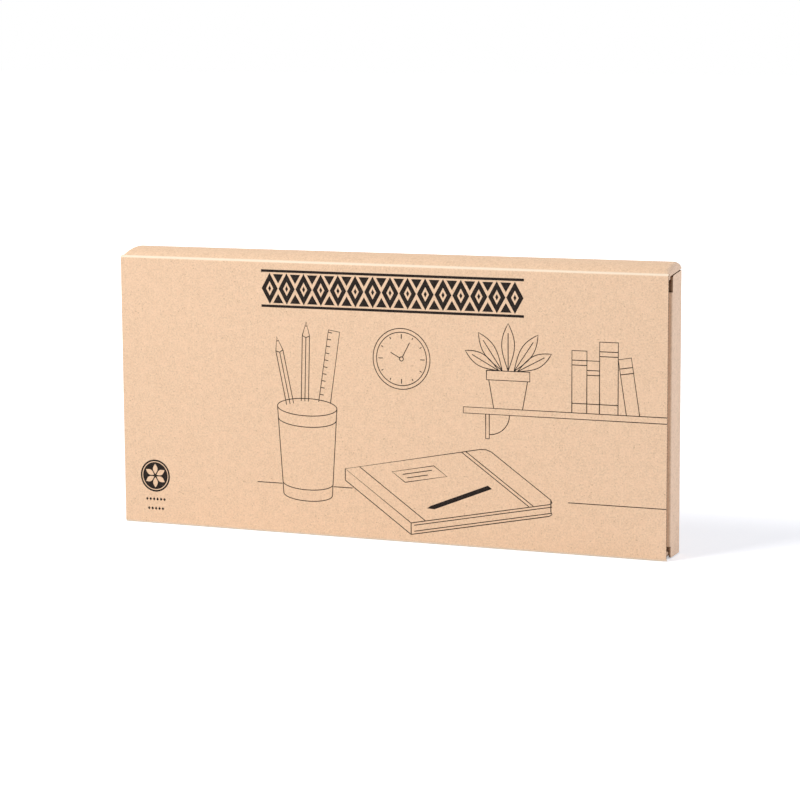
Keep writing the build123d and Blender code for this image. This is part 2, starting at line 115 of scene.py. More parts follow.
glow = add_node(tree, "Emission", {}, {"Strength": seen_glow})
paper_and_glow = add_node(tree, "AddShader", {}, {0: paper.outputs[0], 1: glow.outputs[0]})
add_node(tree, "OutputMaterial", {}, {"Surface": paper_and_glow.outputs[0]})
floor.data.materials.append(floor_material)

# White room round the carton. It lights the carton at a plain level, and looks plain white to the
# camera and in what glossy or clear parts mirror.
fill_colour = (0.97, 0.98, 1.0, 1.0)
fill_strength = 0.38
room_white = (1.0, 1.0, 1.0, 1.0)
world = bpy.data.worlds.new("studio_world")
bpy.context.scene.world = world
world.use_nodes = True
tree = world.node_tree
tree.nodes.clear()
fill = add_node(tree, "Background", {}, {"Color": fill_colour, "Strength": fill_strength})
white = add_node(tree, "Background", {}, {"Color": room_white, "Strength": 1.0})
rays = add_node(tree, "LightPath", {}, {}).outputs
mirror_rays = arithmetic(tree, "MAXIMUM", rays["Is Glossy Ray"], rays["Is Transmission Ray"])
seen_rays = arithmetic(tree, "MAXIMUM", rays["Is Camera Ray"], mirror_rays)
room = add_node(tree, "MixShader", {}, {0: seen_rays, 1: fill.outputs[0], 2: white.outputs[0]})
add_node(tree, "OutputWorld", {}, {"Surface": room.outputs[0]})

# Two soft boxes: a large key high in front on the left, which throws the faint shadow on the floor
# at the right of the carton, and a cooler one behind on the right, which lights the end flap.
lamp_aim = Vector((0, 0, 0.06))
for lamp_name, lamp_place, lamp_size, lamp_power, lamp_colour in (
    ("key_softbox", (-0.84, -1.0, 1.3), 0.8, 25.0, (1.0, 0.985, 0.96)),
    ("side_softbox", (1.3, 0.9, 0.55), 0.8, 14.0, (0.74, 0.82, 1.0)),
):
    lamp_data = bpy.data.lights.new(lamp_name, "AREA")
    lamp_data.size = lamp_size
    lamp_data.energy = lamp_power
    lamp_data.color = lamp_colour
    lamp = bpy.data.objects.new(lamp_name, lamp_data)
    bpy.context.scene.collection.objects.link(lamp)
    lamp.location = lamp_place
    lamp.rotation_euler = (lamp_aim - Vector(lamp_place)).to_track_quat("-Z", "Y").to_euler()


# Sleeve of the carton: fine fluted kraft board, folded from one blank and glued along the back.
# Outside it is uncoated brown paper, cloudy and lightly speckled. Its cut ends show the flutes
# between the two papers. Over the long creases the paper is painted paler: partly the real paper
# stretched over the fold, partly a painted highlight where the rounded fold catches the light.
def new_finish(name, roughness, specular):
    """Starts a material and gives it with its node tree and its main shader."""
    finish = bpy.data.materials.new(name)
    finish.use_nodes = True
    shader = finish.node_tree.nodes["Principled BSDF"]
    shader.inputs["Roughness"].default_value = roughness
    shader.inputs["Specular IOR Level"].default_value = specular
    return finish, finish.node_tree, shader


def noise_on(tree, lumps, detail, roughness=0.5):
    """Noise on the piece's own coordinates, with so many lumps in a metre along each axis."""
    place = add_node(tree, "TexCoord", {}, {})
    sized = add_node(tree, "Mapping", {}, {"Vector": place.outputs["Object"], "Scale": lumps})
    noise = add_node(
        tree,
        "TexNoise",
        {},
        {"Vector": sized.outputs[0], "Scale": 1.0, "Detail": detail, "Roughness": roughness},
    )
    return noise.outputs["Fac"]


def mixed_colour(tree, share, colour, other):
    """The colour, turning to the other colour by that share."""
    mixed = add_node(tree, "Mix", {"data_type": "RGBA"}, {0: share, 6: colour, 7: other})
    return mixed.outputs[2]


def facing(tree, axis):
    """How squarely the surface faces along an axis of the piece, either way, from 0 to 1."""
    place = add_node(tree, "TexCoord", {}, {})
    towards = add_node(
        tree, "VectorMath", {"operation": "DOT_PRODUCT"}, {0: place.outputs["Normal"], 1: axis}
    )
    return arithmetic(tree, "ABSOLUTE", towards.outputs["Value"])


def relief(tree, shader, height, depth):
    """Raises the surface by a height from 0 to 1, so many metres deep."""
    bump = add_node(tree, "Bump", {}, {"Height": height, "Distance": depth, "Strength": 1.0})
    tree.links.new(bump.outputs[0], shader.inputs["Normal"])


speck_colour = (0.34, 0.20, 0.11, 1.0)
# Paler colour of the long creases: the stretched paper and a painted highlight together.
crease_pale_and_highlight_colour = (0.97, 0.83, 0.66, 1.0)
crease_start = 0.0082
crease_full = 0.0086
flute_shadow = (0.17, 0.095, 0.05, 1.0)
flute_paper = (0.44, 0.28, 0.17, 1.0)
flutes_in_metre = 250.0
paper_relief = 0.00001


def kraft_board(name, pale, deep, cut_axis=None, flute_direction="Y", crease_pale_and_highlight=0.0):
    """Kraft board whose cut edges face along one axis, with the flutes counted along another.

    Without an axis nothing is cut, and with the zero axis all of it is."""
    board, tree, shader = new_finish(name, roughness=0.86, specular=0.2)
    clouds = noise_on(tree, (420, 420, 420), detail=5.0, roughness=0.75)
    grain = noise_on(tree, (1250, 1250, 1250), detail=3.0, roughness=0.7)
    warmth = noise_on(tree, (260, 260, 320), detail=4.0, roughness=0.65)
    fibres = noise_on(tree, (650, 2600, 2600), detail=2.0, roughness=0.5)
    specks = noise_on(tree, (1500, 1500, 1500), detail=1.0, roughness=0.4)
    grain_colour = tuple(0.84 * part for part in deep[:3]) + (1.0,)
    warm_colour = (pale[0] * 1.01, pale[1] * 0.97, pale[2] * 0.96, 1.0)
    fibre_colour = (min(1.0, pale[0] * 1.08), pale[1] * 1.12, pale[2] * 1.16, 1.0)
    paper = mixed_colour(tree, share_between(tree, clouds, 0.30, 0.70), deep, pale)
    for noise, low, high, most, colour in (
        (grain, 0.38, 0.68, 0.85, grain_colour),
        (warmth, 0.40, 0.66, 0.35, warm_colour),
        (fibres, 0.58, 0.74, 0.50, fibre_colour),
        (specks, 0.69, 0.77, 0.42, speck_colour),
    ):
        paper = mixed_colour(tree, share_between(tree, noise, low, high, most), paper, colour)
    place = add_node(tree, "TexCoord", {}, {})
    place_parts = add_node(tree, "SeparateXYZ", {}, {0: place.outputs["Object"]}).outputs
    from_middle = arithmetic(tree, "ABSOLUTE", place_parts["Y"])
    # Paler over the long folds: partly the stretched paper, partly a painted highlight where the rounded
    # fold catches light.
    over_crease = arithmetic(tree, "MULTIPLY", facing(tree, (0, 1, 0)), facing(tree, (0, 0, 1)))
    fold_pale_and_highlight_share = arithmetic(
        tree,
        "MULTIPLY",
        share_between(tree, over_crease, 0.22, 0.42),
        share_between(tree, from_middle, crease_start, crease_full, crease_pale_and_highlight),
    )
    paper = mixed_colour(tree, fold_pale_and_highlight_share, paper, crease_pale_and_highlight_colour)
    if cut_axis:
        # Cut edges show the flutes as bands: the fluting paper, and painted shade in the hollows between.
        flutes = add_node(
            tree,
            "TexWave",
            {"wave_type": "BANDS", "bands_direction": flute_direction},
            {
                "Vector": place.outputs["Object"],
                "Scale": flutes_in_metre,
                "Distortion": 1.2,
                "Detail": 1.0,
            },
        )
        fluted = mixed_colour(tree, flutes.outputs["Fac"], flute_shadow, flute_paper)
        cut_share = share_between(tree, facing(tree, cut_axis), 0.75, 0.9) if any(cut_axis) else 1.0
        paper = mixed_colour(tree, cut_share, paper, fluted)
    tree.links.new(paper, shader.inputs["Base Color"])
    relief(tree, shader, arithmetic(tree, "ADD", grain, fibres), paper_relief)
    return board


kraft_pale = (0.91, 0.655, 0.455, 1.0)
kraft_deep = (0.83, 0.575, 0.385, 1.0)
sleeve_board = kraft_board("kraft_sleeve", kraft_pale, kraft_deep, (1, 0, 0), "Z")
# The top and bottom panels' board, painted paler over its long creases: stretched paper and a painted
# highlight.
folded_board = kraft_board("kraft_folds", kraft_pale, kraft_deep, crease_pale_and_highlight=0.85)
tuck_board = kraft_board("kraft_tucks", kraft_pale, kraft_deep)
cut_edge = kraft_board("kraft_cut_edges", kraft_pale, kraft_deep, (0, 0, 0), "Y")


def give_finish(finish, *names):
    """Gives a finish to parts of the CAD frame."""
    for name in names:
        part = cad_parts[name]
        part.data.materials.clear()
        part.data.materials.append(finish)


give_finish(sleeve_board, "front_panel", "back_panel", "glue_lap")
give_finish(folded_board, "bottom_panel")


# Top panel, of the same board. The flaps tucked in under its ends push it up, so it springs up
# between its two long folds, more at the back and at the right. Both ends bend softly down to the
# tuck flaps, and a strip behind each bend carries the dust flap.
millimetre = 0.001
board_thickness = 0.8
carton_end = 125.0
wall_end = 124.1
fold_middle_y = 8.4
fold_middle_z = 117.8
fold_radius = 1.2
fold_steps = 4
crown_steps = 24
left_crown = 3.15
right_crown = 3.85
crown_places = (-1.0, -0.72, 0.6, 1.0)
crown_heights = (0.0, 0.8, 1.15, 0.82)
bend_run = 2.4
bend_drop = 3.2
bend_steps = 6
bend_start_width = 0.8
front_fold_edge = -8.3
flap_line_height = 118.5
flap_line_rise = 0.1
merged_gap = 0.02 * millimetre
sharpest_smooth_turn = math.radians(35)


def along_curve(controls, share):
    """The value on a cubic curve with four control values, at a share of its length."""
    rest = 1 - share
    first, second, third, fourth = controls
    return (
        first * rest**3 + 3 * second * rest**2 * share + 3 * third * rest * share**2 + fourth * share**3
    )


def flap_line(y):
    """The height of the line between the end's bend and the tuck flap, which rises to the back."""
    return flap_line_height + flap_line_rise * y


def top_profile(x):
    """Points across the top panel from front to back: y, height, and share of the end's bend."""
    crown = left_crown + (right_crown - left_crown) * (x + carton_end) / (2 * carton_end)
    turns = [math.radians(90 * step / fold_steps) for step in range(fold_steps + 1)]
    front = []
    for turn in turns:
        y = -fold_middle_y - fold_radius * math.cos(turn)
        front.append((y, fold_middle_z + fold_radius * math.sin(turn), 0.0))
    middle = []
    for step in range(1, crown_steps):
        y = fold_middle_y * along_curve(crown_places, step / crown_steps)
        raised = crown * along_curve(crown_heights, step / crown_steps)
        height = fold_middle_z + fold_radius + raised
        middle.append((y, height, min(1.0, (y + fold_middle_y) / bend_start_width)))
    back_middle_z = fold_middle_z + crown * crown_heights[-1]
    back = []
    for turn in reversed(turns):
        y = fold_middle_y + fold_radius * math.cos(turn)
        back.append((y, back_middle_z + fold_radius * math.sin(turn), 1.0))
    return front + middle + back


def top_row(x, drop_share, has_wall):
    """One row of points across the top panel, lowered where the end bends down."""
    row = []
    for y, height, bend_share in top_profile(x):
        fall = min(bend_drop, height - flap_line(y)) * bend_share
        if bend_share:
            height -= max(0.0, fall) * drop_share
        row.append((x, y, height))
    row.append((x, fold_middle_y + fold_radius, flap_line(fold_middle_y)))
    row.append((x, fold_middle_y + fold_radius, fold_middle_z) if has_wall else None)
    return row


def edge_row(row):
    """The end row again, brought down to the tuck flap behind the front fold."""
    edge = []
    for point in row:
        if point and point[1] > front_fold_edge:
            point = (point[0], point[1], min(point[2], flap_line(point[1])))
        edge.append(point)
    return edge


def board_sheet(name, grids, finish, body, node):
    """Makes sheets of board from grids of points in millimetres, thickened behind their faces.

    A place without a point leaves its faces out."""
    shape = bmesh.new()
    for grid in grids:
        rows = [
            [shape.verts.new([part * millimetre for part in point]) if point else None for point in row]
            for row in grid
        ]
        for row, next_row in zip(rows, rows[1:]):
            for corner in range(len(row) - 1):
                around = (row[corner], next_row[corner], next_row[corner + 1], row[corner + 1])
                if all(around):
                    shape.faces.new(around)
    bmesh.ops.remove_doubles(shape, verts=shape.verts, dist=merged_gap)
    mesh = bpy.data.meshes.new(name)
    shape.to_mesh(mesh)
    shape.free()
    sheet = bpy.data.objects.new(name, mesh)
    bpy.context.scene.collection.objects.link(sheet)
    bpy.ops.object.select_all(action="DESELECT")
    sheet.select_set(True)
    bpy.context.view_layer.objects.active = sheet
    thicken = sheet.modifiers.new("board", "SOLIDIFY")
    thicken.thickness = board_thickness * millimetre
    thicken.offset = -1
    thicken.use_even_offset = True
    thicken.material_offset_rim = 1
    mesh.materials.append(finish)
    mesh.materials.append(cut_edge)
    bpy.ops.object.modifier_apply(modifier=thicken.name)
    bpy.ops.object.shade_smooth_by_angle(angle=sharpest_smooth_turn)
    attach(sheet, body)
    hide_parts(node)


right_rows = []
for step in range(bend_steps + 1):
    turn = math.radians(90 * step / bend_steps)
    x = carton_end - bend_run + bend_run * math.sin(turn)
    right_rows.append((x, 1 - math.cos(turn), x < wall_end))
left_rows = [(-x, drop_share, has_wall) for x, drop_share, has_wall in reversed(right_rows)]
middle_rows = [(x, 0.0, True) for x in range(-100, 101, 25)]
top_grid = [top_row(*row) for row in left_rows + middle_rows + right_rows]
top_grid = [edge_row(top_grid[0])] + top_grid + [edge_row(top_grid[-1])]
dust_x = 123.9
strip_foot = 116.0
strip_drop_share = 0.15
strip_points = slice(7, 26)
strip_grids = []
for side in (-1, 1):
    strip_rows = []
    for y, height, _ in top_profile(side * carton_end)[strip_points]:
        drop = strip_drop_share * min(bend_drop, height - flap_line(y))
        strip_top = height - drop - board_thickness / 2
        strip_rows.append([(side * dust_x, y, strip_foot), (side * dust_x, y, strip_top)])
    strip_grids.append(strip_rows if side > 0 else strip_rows[::-1])
board_sheet("sprung_top_panel", [top_grid] + strip_grids, folded_board, "carton", "top_panel")

# Closures of the two ends: a tuck flap hinged on the back panel, and two dust flaps behind it.
# They are of the same blank. Each tuck flap is a plate, a soft fold with a notch above and below
# it, and a tongue that goes into the carton well behind the front panel, past the dust flaps' edges.
tuck_root_y = 9.5
tuck_foot = 0.4
tuck_gap = 0.55
plate_end_y = -3.0
plate_steps = 5
plate_corner_round = 1.0
tuck_fold_radius = 0.9
tuck_fold_middle_x = carton_end - tuck_fold_radius
tuck_fold_steps = 6
tongue_length = 9.2
tongue_lean = math.radians(-8)
tongue_corners = ((0.4, 0.0), (0.56, 0.0), (0.72, 0.3), (0.86, 0.9), (0.95, 1.6), (1.0, 2.5))
notch_low = 5.2
notch_high = 110.9
notch_steps = 4
straight_end_y = plate_end_y + plate_corner_round
tuck_columns = []
for step in range(plate_steps):
    y = tuck_root_y + (straight_end_y - tuck_root_y) * step / plate_steps
    tuck_columns.append((carton_end, y, tuck_foot, flap_line(y) - tuck_gap, 0.0))
for turn in (0, 30, 60, 90):
    y = plate_end_y + plate_corner_round * (1 - math.sin(math.radians(turn)))
    cut = plate_corner_round * (1 - math.cos(math.radians(turn)))
    tuck_columns.append((carton_end, y, tuck_foot + cut, flap_line(y) - tuck_gap - cut, 0.0))
for step in range(1, tuck_fold_steps + 1):
    turn = (math.pi / 2 + tongue_lean) * step / tuck_fold_steps
    x = tuck_fold_middle_x + tuck_fold_radius * math.cos(turn)
    tuck_columns.append((x, plate_end_y - tuck_fold_radius * math.sin(turn), None, None, 0.0))
fold_end_x, fold_end_y = tuck_columns[-1][:2]
for reach, cut in tongue_corners:
    x = fold_end_x - reach * tongue_length * math.cos(tongue_lean)
    y = fold_end_y + reach * tongue_length * math.sin(tongue_lean)
    tuck_columns.append((x, y, None, None, cut))
for side_name, side in (("right", 1), ("left", -1)):
    tuck_grid = []
    for x, y, low, high, cut in tuck_columns:
        tall = notch_high - notch_low - 2 * cut
        inner = [notch_low + cut + tall * step / notch_steps for step in range(notch_steps + 1)]
        heights = [low] + inner + [high]
        tuck_grid.append([(side * x, y, z) if z is not None else None for z in heights])
    if side > 0:
        tuck_grid = [row[::-1] for row in tuck_grid]
    tuck_name = f"{side_name}_tuck"
    board_sheet(f"{tuck_name}_board", [tuck_grid], tuck_board, tuck_name, f"{tuck_name}_flap")
dust_front_y = -2.7
dust_back_y = 7.0
dust_slant = 8.0
dust_root = 3.4
dust_waist = 12.0
dust_tip = 22.6
dust_tip_round = 1.2
dust_tip_cut = 0.35
dust_steps = 4
dust_corners = (
    (dust_root, 0.0),
    (dust_waist, 0.0),
    (dust_tip - dust_tip_round, 0.0),
    (dust_tip - dust_tip_cut, dust_tip_cut),
    (dust_tip, dust_tip_round),
)
carton_middle = 59.5
dust_rows = []
for height, inset in dust_corners:
    slanted_back = dust_back_y - dust_slant * (height - dust_root) / (dust_tip - dust_root)
    front = dust_front_y + inset
    step_width = (slanted_back - inset - front) / dust_steps
    dust_rows.append([(front + step_width * step, height) for step in range(dust_steps + 1)])
for side_name, side in (("right", 1), ("left", -1)):
    for level_name, level in (("upper", 1), ("lower", -1)):
        dust_grid = []
        for row in dust_rows:
            if level > 0:
                row = [(y, 2 * carton_middle - height) for y, height in row]
            dust_grid.append([(side * dust_x, y, height) for y, height in row])
        if side * level < 0:
            dust_grid.reverse()
        dust_name = f"{side_name}_{level_name}_dust"
        board_sheet(f"{dust_name}_board", [dust_grid], tuck_board, dust_name, f"{dust_name}_flap")

# Print on the front panel, one pass of black ink on the bare kraft. A bold frieze of lozenges
# between two rules runs under the top edge.
ink_full = (0.019, 0.014, 0.012, 1.0)
ink_thin = (0.060, 0.045, 0.038, 1.0)
ink, tree, shader = new_finish("black_ink", roughness=0.7, specular=0.08)
ink_cover = noise_on(tree, (1600, 1600, 1600), detail=3.0, roughness=0.6)
ink_colour = mixed_colour(tree, share_between(tree, ink_cover, 0.45, 0.80), ink_full, ink_thin)
tree.links.new(ink_colour, shader.inputs["Base Color"])
relief(tree, shader, ink_cover, depth=0.000006)

ink_thickness = 0.02 * millimetre
front_face = -9.6 * millimetre


def lay_on_front(print_object, turn, flatness):
    """Makes a printed curve a mesh, lays it on the front panel and lets it ride on the carton."""
    bpy.ops.object.select_all(action="DESELECT")
    print_object.select_set(True)
    bpy.context.view_layer.objects.active = print_object
    bpy.ops.object.convert(target="MESH")
    laid = bpy.context.object
    laid.rotation_euler = (turn, 0, 0)
    laid.scale = (1, flatness, 1)
    laid.location = (0, front_face - ink_thickness / 2, 0)
    bpy.ops.object.transform_apply(location=True, rotation=True, scale=True)
    laid.data.materials.clear()
    laid.data.materials.append(ink)
    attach(laid, "carton")


def print_shapes(name, outlines):
    """Prints solid shapes from closed outlines in millimetres, where an outline inside is a hole."""
    shape_curve = bpy.data.curves.new(name, "CURVE")
    shape_curve.dimensions = "2D"
    shape_curve.fill_mode = "BOTH"
    shape_curve.extrude = ink_thickness / 2
    for outline in outlines:
        spline = shape_curve.splines.new("POLY")
        spline.points.add(len(outline) - 1)
        spline.use_cyclic_u = True
        for point, (x, z) in zip(spline.points, outline):
            point.co = (x * millimetre, z * millimetre, 0, 1)
    shapes = bpy.data.objects.new(name, shape_curve)
    bpy.context.scene.collection.objects.link(shapes)
    lay_on_front(shapes, math.pi / 2, 1)


def lozenge(x, z, half_width, half_height):
    """The corners of a lozenge about its middle."""
    return [(x - half_width, z), (x, z - half_height), (x + half_width, z), (x, z + half_height)]


def bar(left, right, low, high):
    """The corners of an upright rectangle."""
    return [(left, low), (right, low), (right, high), (left, high)]


frieze_left = -57.0
frieze_pitch = 8.0
frieze_count = 15
frieze_low = 98.7
frieze_high = 115.0
frieze_middle = (frieze_low + frieze_high) / 2
frieze_right = frieze_left + frieze_count * frieze_pitch
nested_lozenges = ((3.8, 6.7), (1.7, 3.1), (0.7, 1.3))
rule_width = 1.1
wedge_half = 2.4
wedge_base = 1.9
wedge_tip = 5.9
frieze = [
    bar(frieze_left, frieze_right, frieze_low, frieze_low + rule_width),
    bar(frieze_left, frieze_right, frieze_high - rule_width, frieze_high),
]
for index in range(frieze_count):
    x = frieze_left + frieze_pitch * (index + 0.5)
    for half_width, half_height in nested_lozenges:
        frieze.append(lozenge(x, frieze_middle, half_width, half_height))
for index in range(1, frieze_count):
    x = frieze_left + frieze_pitch * index
    upper_base = frieze_high - wedge_base
    lower_base = frieze_low + wedge_base
    frieze.append(
        [(x - wedge_half, upper_base), (x, frieze_high - wedge_tip), (x + wedge_half, upper_base)]
    )
    frieze.append(
        [(x - wedge_half, lower_base), (x + wedge_half, lower_base), (x, frieze_low + wedge_tip)]
    )
print_shapes("printed_frieze", frieze)


# Round badge printed low on the left of the front panel: a black disc in a thin black ring, with
# a six-petalled rosette left open in it, and two short rows of small lozenges under it.
def ring(x, z, radius_x, radius_z, start=0, end=360, steps=48):
    """Points round an ellipse, or round a stretch of it, by degrees from its right-hand point."""
    turns = [math.radians(start + (end - start) * step / steps) for step in range(steps + 1)]
    if end - start == 360:
        turns = turns[:-1]
    return [(x + radius_x * math.cos(turn), z + radius_z * math.sin(turn)) for turn in turns]


def turned(x, z, direction, along, across=0.0):
    """The place that lies so far along and across a direction from another place."""
    return (
        x + along * math.cos(direction) - across * math.sin(direction),
        z + along * math.sin(direction) + across * math.cos(direction),
    )


badge_x = -110.0
badge_z = 21.5
badge_radii = (7.2, 6.45, 6.05)
petal_length = 4.6
petal_start = 0.7
petal_half_width = 1.15
petal_steps = 12
small_pitch = 1.7
small_half_width = 0.65
small_half_height = 0.75
small_rows = ((6, 4.2, 11.0), (5, 3.35, 6.8))
badge = [ring(badge_x, badge_z, radius, radius, steps=64) for radius in badge_radii]
for petal in range(6):
    direction = math.radians(30 + 60 * petal)
    sides = []
    for side in (1, -1):
        for step in range(petal_steps):
            share = step / petal_steps if side > 0 else 1 - step / petal_steps
            along = petal_start + petal_length * share
            across = side * petal_half_width * math.sin(math.pi * share)
            sides.append(turned(badge_x, badge_z, direction, along, across))
    badge.append(sides)
print_shapes("printed_badge", badge)
small_lozenges = [
    lozenge(badge_x - row_start + small_pitch * index, row_z, small_half_width, small_half_height)
    for count, row_start, row_z in small_rows
    for index in range(count)
]
print_shapes("printed_badge_rows", small_lozenges)


# Line drawing that fills most of the front panel: a pen cup, a notebook with a pencil on it, a
# plain wall clock, and a shelf with a plant and books that runs to the right edge. All is printed
# in one thin line, apart from the pencil on the notebook, which is solid.
def print_lines(name, strokes):
    """Prints thin lines through points in millimetres."""
    line_curve = bpy.data.curves.new(name, "CURVE")
    line_curve.dimensions = "3D"
    line_curve.bevel_depth = line_width / 2 * millimetre
    line_curve.bevel_resolution = 1
    line_curve.use_fill_caps = True
    for stroke in strokes:
        spline = line_curve.splines.new("POLY")
        spline.points.add(len(stroke) - 1)
        for point, (x, z) in zip(spline.points, stroke):
            point.co = (x * millimetre, 0, z * millimetre, 1)
    lines = bpy.data.objects.new(name, line_curve)
    bpy.context.scene.collection.objects.link(lines)
    lay_on_front(lines, 0, ink_thickness / (line_width * millimetre))


def closed_ring(x, z, radius_x, radius_z, steps=48):
    """Points all round an ellipse and back to the first one."""
    return ring(x, z, radius_x, radius_z, steps=steps) + [(x + radius_x, z)]


line_width = 0.42
cup_x = -36.0
cup_rim = 56.0
cup_foot = 18.0
cup_top_half = 14.0
cup_foot_half = 11.5
cup_band = 5.0
band_inset = 0.33
cup_lines = [
    closed_ring(cup_x, cup_rim, cup_top_half, 3.8),
    [(cup_x - cup_top_half, cup_rim), (cup_x - cup_foot_half, cup_foot)],
    [(cup_x + cup_top_half, cup_rim), (cup_x + cup_foot_half, cup_foot)],
    ring(cup_x, cup_foot, cup_foot_half, 3.1, 180, 360),
    ring(cup_x, cup_rim - cup_band, cup_top_half - band_inset, 3.7, 180, 360),
    ring(cup_x, cup_foot + cup_band, cup_foot_half + band_inset, 3.2, 180, 360),
]
stub_half = 1.7
stub_cone = 6.0
stub_scallop = 0.8
lead_length = 1.8
lead_share = 0.3
for foot_place, tip_place in (((-44.0, 57.0), (-50.0, 86.0)), ((-37.0, 58.6), (-36.0, 93.0))):
    foot = Vector(foot_place)
    tip = Vector(tip_place)
    away = Vector((tip_place[0] - foot_place[0], tip_place[1] - foot_place[1])).normalized()
    across = Vector((away.y, -away.x)) * stub_half
    neck = tip - away * stub_cone
    scallop = neck - away * stub_scallop
    lead = tip - away * lead_length
    cup_lines += [
        [foot - across, neck - across, tip, neck + across, foot + across],
        [neck - across, scallop, neck + across],
        [foot, scallop],
        [lead - across * lead_share, lead + across * lead_share],
    ]
ruler_lean = 0.156
cup_lines.append([(-30.5, 58.6), (-25.6, 90.0), (-20.4, 89.2), (-25.0, 58.2)])
for z in range(62, 90, 3):
    shift = ruler_lean * (z - 68.0)
    cup_lines.append([(-29.0 + shift, z), (-27.2 + shift, z - 0.3)])
print_lines("printed_pen_cup", cup_lines)

book_corner = Vector((12.0, 3.6))
book_along = Vector((0.955, 0.185))
book_away = Vector((-0.66, 0.47))
book_up = Vector((0.0, 1.0))
book_length = 68.0
book_width = 46.0
book_height = 5.0
cover_height = 1.2
round_end = 3
round_middle = 0.9
spine_width = 7
page_inset = 1.5
band_near = 56
band_far = 58


def on_book(along, away, up):
    """A point on the notebook, drawn from above and to one side."""
    return tuple(book_corner + book_along * along + book_away * away + book_up * up)


def on_cover(*places):
    """A line over the top of the notebook, through places along it and away over it."""
    return [on_book(along, away, book_height) for along, away in places]


book_lines = [
    on_cover(
        (0, 0),
        (book_length - round_end, 0),
        (book_length - round_middle, round_middle),
        (book_length, round_end),
        (book_length, book_width - round_end),
        (book_length - round_middle, book_width - round_middle),
        (book_length - round_end, book_width),
        (0, book_width),
        (0, 0),
    ),
    [
        on_book(0, book_width, book_height),
        on_book(0, book_width, 0),
        on_book(0, 0, 0),
        on_book(book_length - round_end, 0, 0),
    ],
    [on_book(0, 0, book_height), on_book(0, 0, 0)],
    [
        on_book(book_length - round_end, 0, 0),
        on_book(book_length - round_middle, round_middle, 0),
        on_book(book_length, round_end, 0),
    ],
    [on_book(book_length, round_end, 0), on_book(book_length, round_end, book_height)],
    on_cover((spine_width, 0), (spine_width, book_width)),
    [on_book(page_inset, 0, cover_height), on_book(book_length - page_inset, 0, cover_height)],
    [
        on_book(page_inset, 0, book_height - cover_height),
        on_book(book_length - page_inset, 0, book_height - cover_height),
    ],
    on_cover((band_near, 0), (band_near, book_width)),
    on_cover((band_far, 0), (band_far, book_width)),
    on_cover((18, 30), (38, 30), (38, 39), (18, 39), (18, 30)),
    on_cover((21, 36), (35, 36)),
    on_cover((21, 33), (31, 33)),
]
print_lines("printed_notebook", book_lines)
pencil = on_cover((14, 9.0), (16.5, 7.6), (50, 16.6), (50, 19.4), (16.5, 10.4))
print_shapes("printed_pencil", [pencil])

shelf_left = 36.0
shelf_right = 125.0
shelf_top = 60.0
shelf_low = 57.4
bracket_left = 46.0
bracket_right = 47.6
bracket_foot = 47.0
shelf_lines = [
    [(shelf_right, shelf_top), (shelf_left, shelf_top), (shelf_left, shelf_low), (shelf_right, shelf_low)],
    [
        (bracket_left, shelf_low),
        (bracket_left, bracket_foot),
        (bracket_right, bracket_foot),
        (bracket_right, shelf_low),
    ],
    ring(bracket_right, shelf_low, 9.0, 8.6, 270, 360, 16),
]
pot_x = 56.0
pot_shoulder = 72.0
pot_rim = 76.0
pot_rim_half = 9.6
shelf_lines += [
    [(pot_x - 8.6, pot_shoulder), (pot_x - 6.4, shelf_top)],
    [(pot_x + 8.6, pot_shoulder), (pot_x + 6.4, shelf_top)],
    [
        (pot_x - pot_rim_half, pot_rim),
        (pot_x - pot_rim_half, pot_shoulder),
        (pot_x + pot_rim_half, pot_shoulder),
        (pot_x + pot_rim_half, pot_rim),
        (pot_x - pot_rim_half, pot_rim),
    ],
]
leaf_steps = 14
leaf_spread = 4.6
leaf_fullness = 0.75
leaf_swell = 0.5
vein_share = 0.8
for lean, leaf_length, leaf_width in (
    (-62, 17.0, 2.6),
    (-34, 19.0, 2.7),
    (0, 20.0, 2.8),
    (34, 19.0, 2.7),
    (62, 17.0, 2.6),
):
    direction = math.radians(90 - lean)
    root_x = pot_x + leaf_spread * math.sin(math.radians(lean))
    outline = []
    for side in (1, -1):
        for step in range(leaf_steps + 1):
            share = step / leaf_steps if side > 0 else 1 - step / leaf_steps
            along = leaf_length * share
            fullness = leaf_fullness + leaf_swell * share
            across = side * leaf_width * math.sin(math.pi * share) * fullness
            outline.append(turned(root_x, pot_rim, direction, along, across))
    shelf_lines.append([point for point in outline if point[1] >= pot_rim])
    vein_end = turned(root_x, pot_rim, direction, leaf_length * vein_share)
    shelf_lines.append([(root_x, pot_rim), vein_end])
for left, right, high in ((84.0, 90.5, 86.0), (90.5, 96.0, 82.0), (96.0, 104.0, 90.0)):
    shelf_lines.append([(left, shelf_top), (left, high), (right, high), (right, shelf_top)])
    for band in (high - 4.0, high - 6.0, shelf_top + 4.0):
        shelf_lines.append([(left, band), (right, band)])
shelf_lines += [
    [(107.6, shelf_top), (104.0, 83.0), (109.6, 84.0), (113.3, shelf_top)],
    [(104.6, 79.2), (110.2, 80.1)],
    [(105.0, 76.8), (110.6, 77.7)],
]
print_lines("printed_shelf", shelf_lines)

clock_x = 8.0
clock_z = 79.0
hub_radius = 0.9
mark_end = 10.6
clock_lines = [
    closed_ring(clock_x, clock_z, 13.0, 13.0, steps=72),
    closed_ring(clock_x, clock_z, 11.4, 11.4, steps=72),
    closed_ring(clock_x, clock_z, hub_radius, hub_radius, steps=16),
]
for mark in range(12):
    direction = math.radians(30 * mark)
    mark_start = 8.6 if mark % 3 == 0 else 9.6
    clock_lines.append(
        [turned(clock_x, clock_z, direction, reach) for reach in (mark_start, mark_end)]
    )
for direction, hand_length in ((math.radians(62), 8.0), (math.radians(152), 5.6)):
    clock_lines.append(
        [turned(clock_x, clock_z, direction, reach) for reach in (hub_radius, hand_length)]
    )
print_lines("printed_clock", clock_lines)

